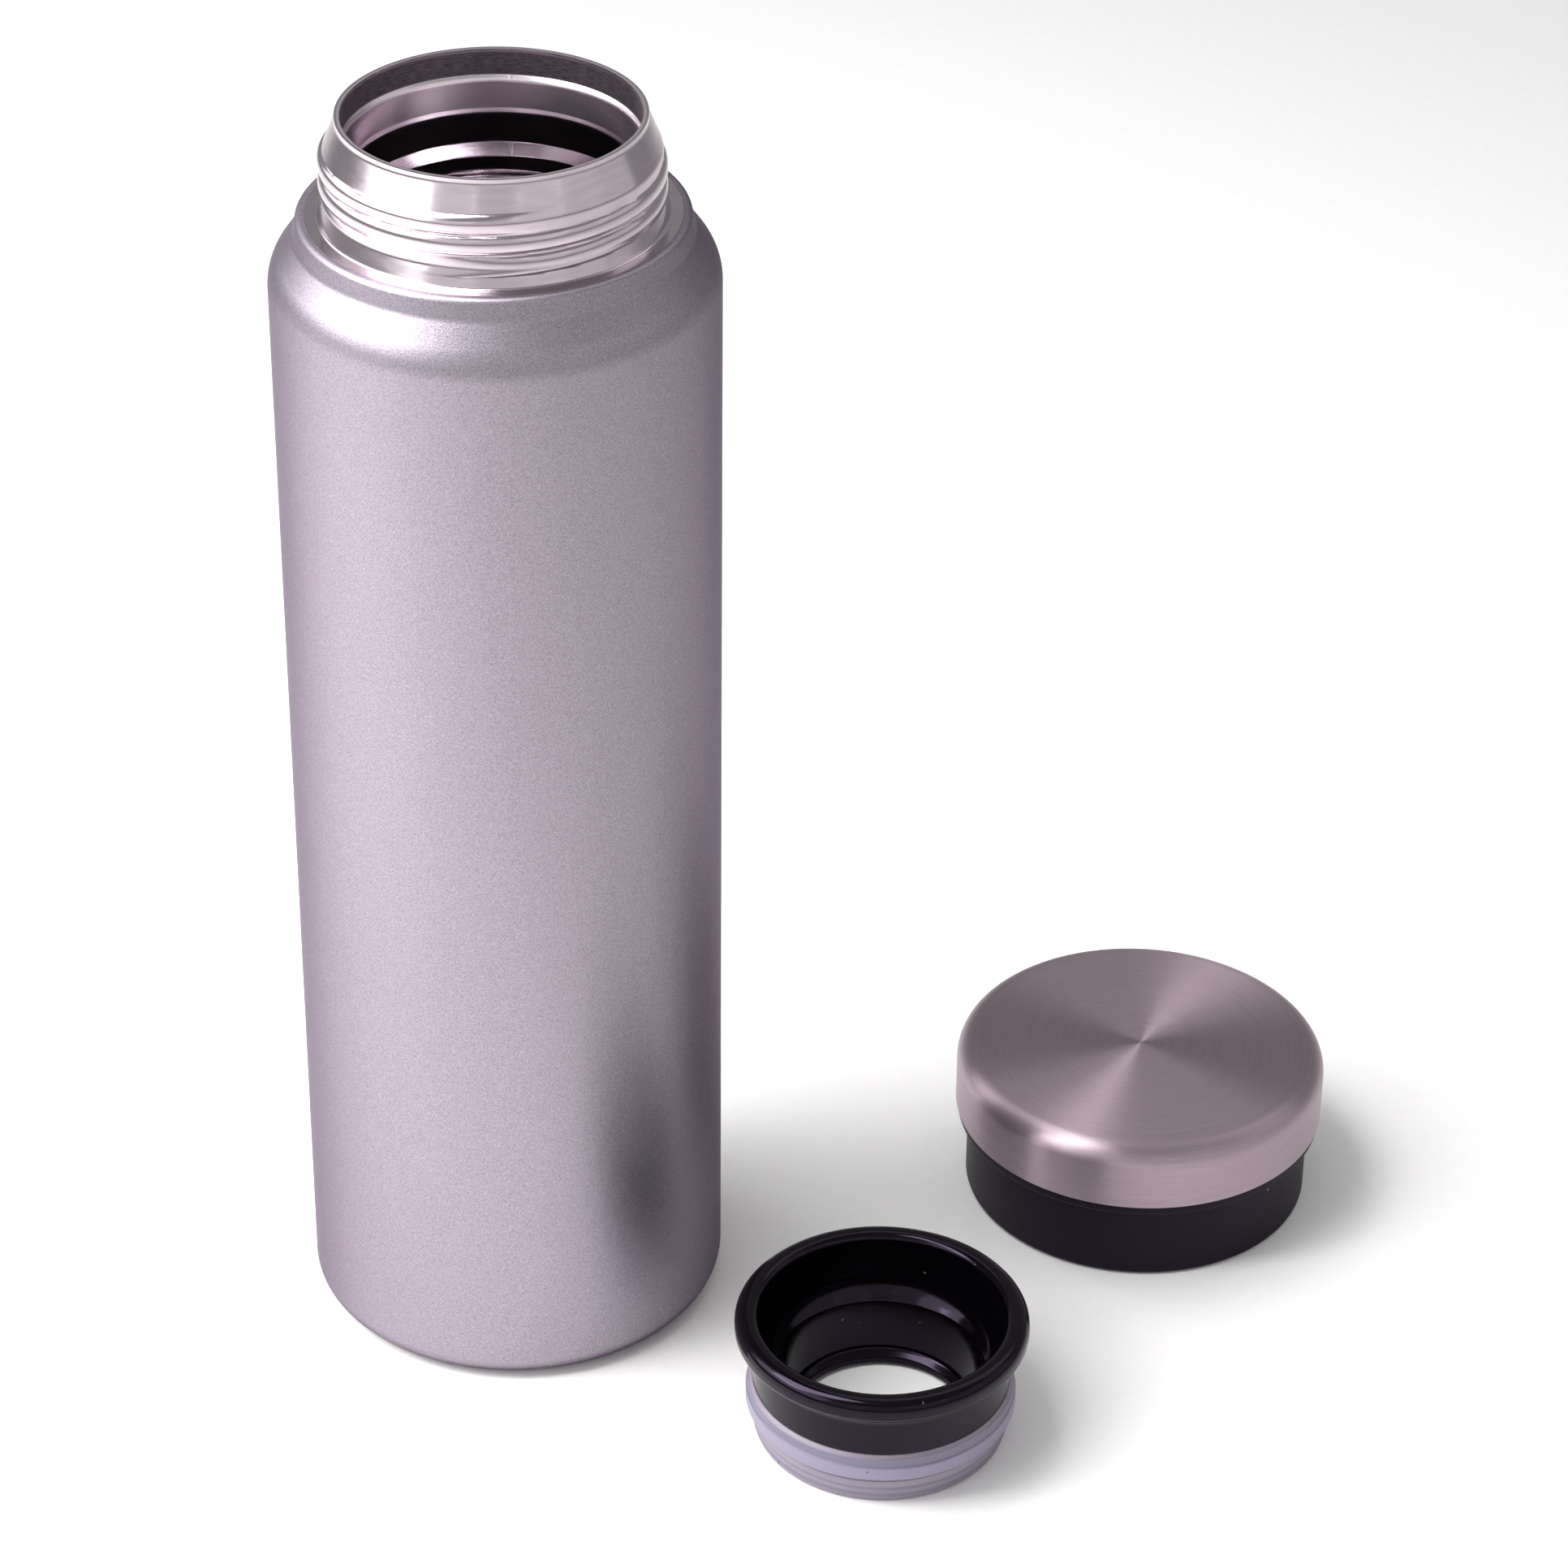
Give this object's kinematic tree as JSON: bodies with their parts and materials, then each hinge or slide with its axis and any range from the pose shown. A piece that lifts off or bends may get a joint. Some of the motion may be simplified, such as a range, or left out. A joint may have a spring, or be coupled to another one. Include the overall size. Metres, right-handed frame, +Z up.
{
  "type": "vacuum flask",
  "caption": "Slim double-walled steel flask with a polished threaded neck, standing open beside its steel-topped screw lid and its push-in pour ring with a silicone seal.",
  "frame": {"origin": "centre of the flask's flat base, on the surface that the flask stands on", "axes": "+Z up the flask towards its mouth; +X towards the side where the lid stands; -Y is the front, where the pour ring stands"},
  "size_m": [0.1641, 0.1147, 0.2014],
  "materials": {
    "shell_blasted": "bead-blasted satin stainless steel",
    "base_disc": "satin stainless steel disc",
    "solder_bead": "fused sealing bead",
    "neck_polished": "mirror-polished stainless steel",
    "liner_steel": "drawn stainless steel, brushed lip, polished throat",
    "copper": "thin copper foil",
    "getter_pellet": "pressed zirconium alloy powder",
    "clip_steel": "spring steel strap",
    "cap_brushed": "circular-brushed stainless steel",
    "lid_plastic": "black polypropylene, fine matt",
    "foam": "closed-cell foam",
    "silicone": "translucent silicone",
    "ring_plastic": "black polypropylene, glossy"
  },
  "bodies": {
    "flask": {"outer_shell": "shell_blasted", "outer_base": "shell_blasted", "base_cover": "base_disc", "vacuum_seal": "solder_bead", "threaded_neck": "neck_polished", "inner_liner": "liner_steel", "liner_base": "liner_steel", "copper_foil": "copper", "getter": "getter_pellet", "getter_clip": "clip_steel"},
    "lid_gasket": {"lid_gasket": "silicone"},
    "lid": {"lid_cap_shell": "cap_brushed", "lid_body": "lid_plastic", "lid_inner_cover": "lid_plastic", "lid_insulation": "foam"},
    "ring_seal": {"ring_seal": "silicone"},
    "pour_ring": {"pour_ring": "ring_plastic"}
  },
  "joints": [
    {"name": "lid_lift", "type": "slide", "parent": "flask", "child": "lid_gasket", "axis": [0, 0, 1], "range_m": [0, 0.24]},
    {"name": "lid_turn", "type": "hinge", "parent": "lid_gasket", "child": "lid", "pos_m": [0.1017, 0.0183, 0], "axis": [0, 0, 1], "continuous": true},
    {"name": "ring_lift", "type": "slide", "parent": "flask", "child": "ring_seal", "axis": [0, 0, 1], "range_m": [0, 0.24]},
    {"name": "ring_pull", "type": "slide", "parent": "ring_seal", "child": "pour_ring", "axis": [0, 0, 1], "range_m": [0, 0.012]}
  ]
}
